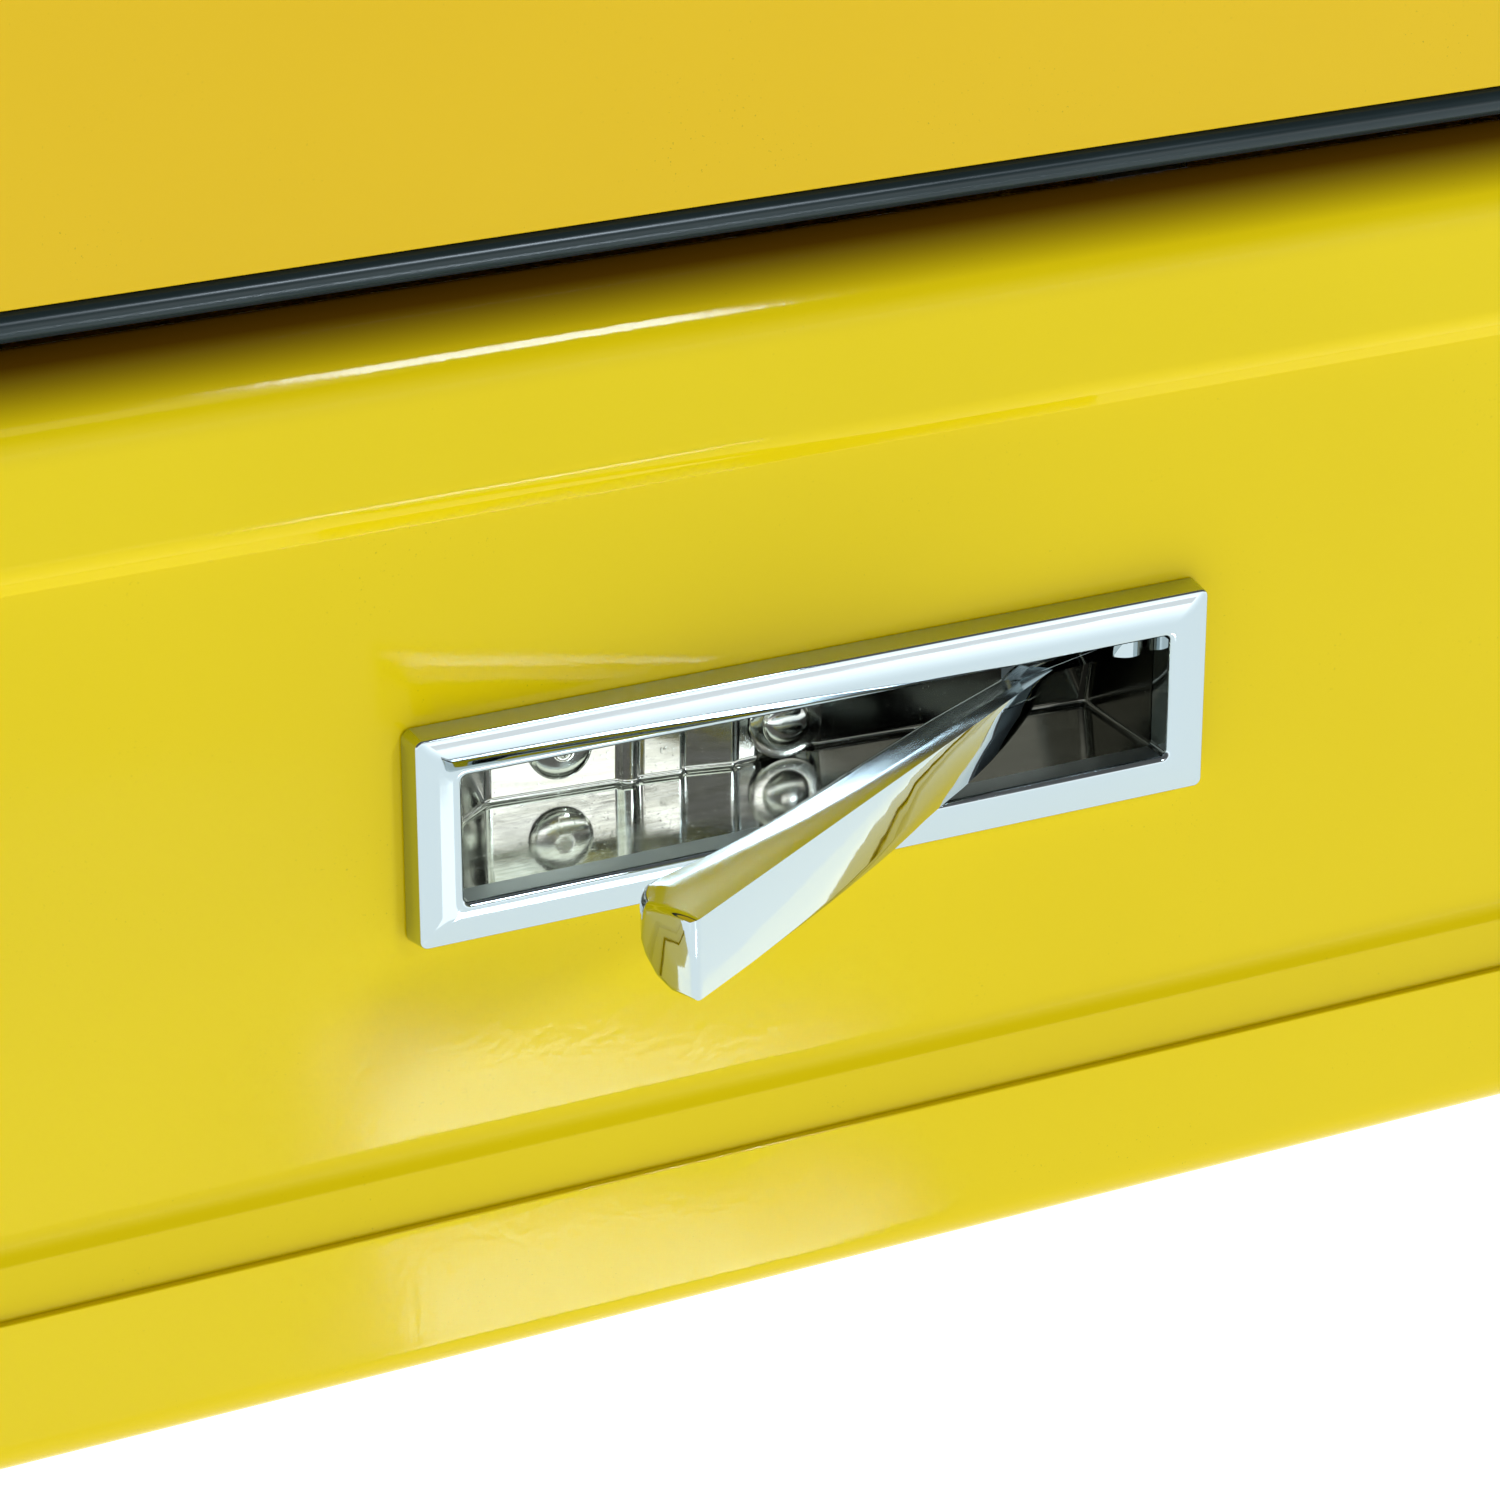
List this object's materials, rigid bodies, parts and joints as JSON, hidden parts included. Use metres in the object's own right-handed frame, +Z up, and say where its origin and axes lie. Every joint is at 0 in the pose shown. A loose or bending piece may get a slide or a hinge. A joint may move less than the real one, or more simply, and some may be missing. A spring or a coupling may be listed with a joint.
{
  "type": "toolbox with tray",
  "caption": "Sheet-steel toolbox: hinged lid with vinyl edge trim and slotted stays, recessed chrome swing-lever latch, folding handles and a divided lift-out tray.",
  "frame": {"origin": "middle of the base's underside, below the middle of the latch", "axes": "+X along the box to the right, -Y out of the front with the latch, +Z up"},
  "size_m": [0.523, 0.277, 0.2552],
  "materials": {
    "yellow_paint": "gloss powder coat",
    "yellow_paint_lid": "gloss powder coat, slightly warmer",
    "blue_grey_vinyl": "gloss vinyl",
    "chrome_plate": "polished",
    "nickel_plate": "bright nickel, lightly scratched",
    "zinc_plate": "bright zinc",
    "black_grip": "satin",
    "tray_paint": "gloss powder coat"
  },
  "bodies": {
    "body": {"body_shell": "yellow_paint", "base_pan": "yellow_paint", "hinge_left_body_leaf": "zinc_plate", "hinge_right_body_leaf": "zinc_plate", "hinge_left_body_rivet_1": "zinc_plate", "hinge_left_body_rivet_2": "zinc_plate", "hinge_right_body_rivet_1": "zinc_plate", "hinge_right_body_rivet_2": "zinc_plate", "hinge_left_pin": "zinc_plate", "hinge_right_pin": "zinc_plate", "latch_bezel": "chrome_plate", "latch_cup": "nickel_plate", "latch_cup_rivet_left": "nickel_plate", "latch_cup_rivet_right": "nickel_plate", "shaft_guide": "zinc_plate", "stay_body_stud_left": "zinc_plate", "stay_body_stud_right": "zinc_plate", "tray_rest_front_left": "zinc_plate", "tray_rest_front_right": "zinc_plate", "tray_rest_back_left": "zinc_plate", "tray_rest_back_right": "zinc_plate", "tray_rest_rivet_front_left": "zinc_plate", "tray_rest_rivet_front_right": "zinc_plate", "tray_rest_rivet_back_left": "zinc_plate", "tray_rest_rivet_back_right": "zinc_plate"},
    "lid": {"lid_shell": "yellow_paint_lid", "lid_seal": "blue_grey_vinyl", "hinge_left_lid_leaf": "zinc_plate", "hinge_right_lid_leaf": "zinc_plate", "hinge_left_lid_rivet_1": "zinc_plate", "hinge_left_lid_rivet_2": "zinc_plate", "hinge_right_lid_rivet_1": "zinc_plate", "hinge_right_lid_rivet_2": "zinc_plate", "latch_strike": "zinc_plate", "carry_handle_bracket_left": "zinc_plate", "carry_handle_bracket_right": "zinc_plate", "carry_handle_rivet_left_front": "zinc_plate", "carry_handle_rivet_left_back": "zinc_plate", "carry_handle_rivet_right_front": "zinc_plate", "carry_handle_rivet_right_back": "zinc_plate", "stay_lid_stud_left": "zinc_plate", "stay_lid_stud_right": "zinc_plate"},
    "lever": {"latch_lever": "chrome_plate", "latch_shaft": "zinc_plate", "latch_cam": "zinc_plate"},
    "carry_handle": {"carry_handle_bail": "chrome_plate", "carry_handle_grip": "black_grip"},
    "stay_left": {"stay_arm_left": "zinc_plate"},
    "stay_right": {"stay_arm_right": "zinc_plate"},
    "tray": {"tray_pan": "tray_paint", "tray_long_divider": "tray_paint", "tray_cross_divider_1": "tray_paint", "tray_cross_divider_2": "tray_paint", "tray_cross_divider_3": "tray_paint", "tray_handle_ear_left": "zinc_plate", "tray_handle_ear_right": "zinc_plate"},
    "tray_handle": {"tray_handle_bail": "chrome_plate"}
  },
  "joints": [
    {"name": "lid_hinge", "type": "hinge", "parent": "body", "child": "lid", "pos_m": [0, 0.113, 0.162], "axis": [-1, 0, 0], "range_deg": [0, 100]},
    {"name": "stay_left_pivot", "type": "hinge", "parent": "lid", "child": "stay_left", "pos_m": [-0.24325, 0.0276, 0.187], "axis": [-1, 0, 0], "range_deg": [-50, 0]},
    {"name": "stay_right_pivot", "type": "hinge", "parent": "lid", "child": "stay_right", "pos_m": [0.24325, 0.0276, 0.187], "axis": [-1, 0, 0], "range_deg": [-50, 0]},
    {"name": "lever_swing", "type": "hinge", "parent": "body", "child": "lever", "pos_m": [0.053, -0.104, 0.0825], "axis": [0, 0, 1], "range_deg": [-18.5, 14]},
    {"name": "carry_handle_fold", "type": "hinge", "parent": "lid", "child": "carry_handle", "pos_m": [0, -0.02, 0.247], "axis": [-1, 0, 0], "range_deg": [0, 90]},
    {"name": "tray_lift", "type": "slide", "parent": "body", "child": "tray", "axis": [0, 0, 1], "range_m": [0, 0.045]},
    {"name": "tray_handle_fold", "type": "hinge", "parent": "tray", "child": "tray_handle", "pos_m": [0, 0.0005, 0.1505], "axis": [-1, 0, 0], "range_deg": [0, 90]}
  ],
  "couplings": [
    {"joint": "stay_left_pivot", "follows": "lid_hinge", "ratio": -0.5},
    {"joint": "stay_right_pivot", "follows": "lid_hinge", "ratio": -0.5}
  ]
}
